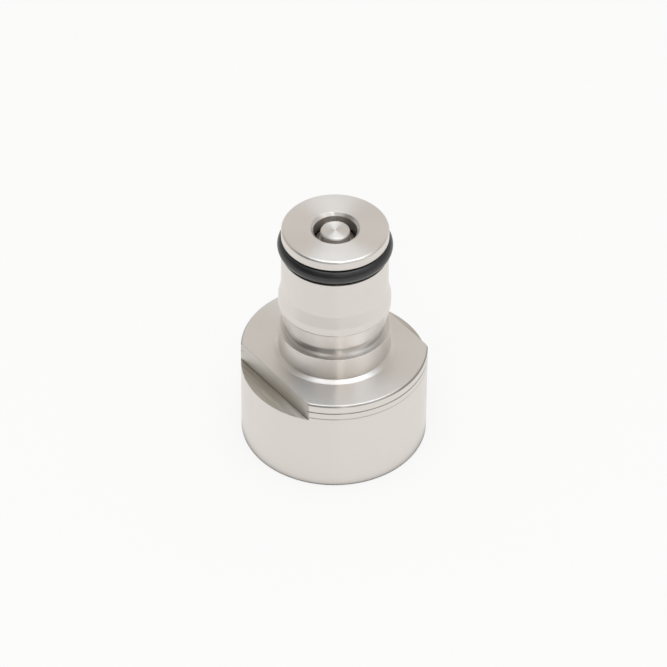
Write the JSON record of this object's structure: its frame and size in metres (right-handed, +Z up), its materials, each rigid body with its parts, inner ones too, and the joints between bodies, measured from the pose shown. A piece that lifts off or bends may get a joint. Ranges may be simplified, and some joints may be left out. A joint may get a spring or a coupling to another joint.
{
  "type": "ball lock post",
  "caption": "Turned steel ball lock post with an outer ring seal and a spring-loaded poppet, on a round base with spanner flats and a female pipe thread.",
  "frame": {"origin": "centre of the base's underside, the face it stands on", "axes": "+Z up the post's axis towards the poppet's pin; the two spanner flats face +Y and -Y"},
  "size_m": [0.028, 0.028, 0.0387],
  "materials": {
    "stainless_steel": "fine turned, satin",
    "pin_steel": "turned end face",
    "spring_steel": "drawn wire and pressed strip",
    "seal_rubber": "lightly greased black rubber",
    "poppet_rubber": "matt moulded black rubber",
    "gasket_rubber": "matt cut sheet"
  },
  "bodies": {
    "post": {"post_body": "stainless_steel", "post_o_ring": "seal_rubber", "spring_guide": "spring_steel", "guide_snap_ring": "spring_steel", "thread_gasket": "gasket_rubber", "poppet_spring": "spring_steel"},
    "poppet": {"poppet_stem": "pin_steel", "poppet_seal": "poppet_rubber", "seal_washer": "spring_steel", "stem_clip": "spring_steel"}
  },
  "joints": [
    {"name": "poppet_press", "type": "slide", "parent": "post", "child": "poppet", "axis": [0, 0, -1], "range_m": [0, 0.0035], "stiffness_N_per_m": 800, "springref_m": -0.004, "deforming": ["poppet_spring"]}
  ]
}
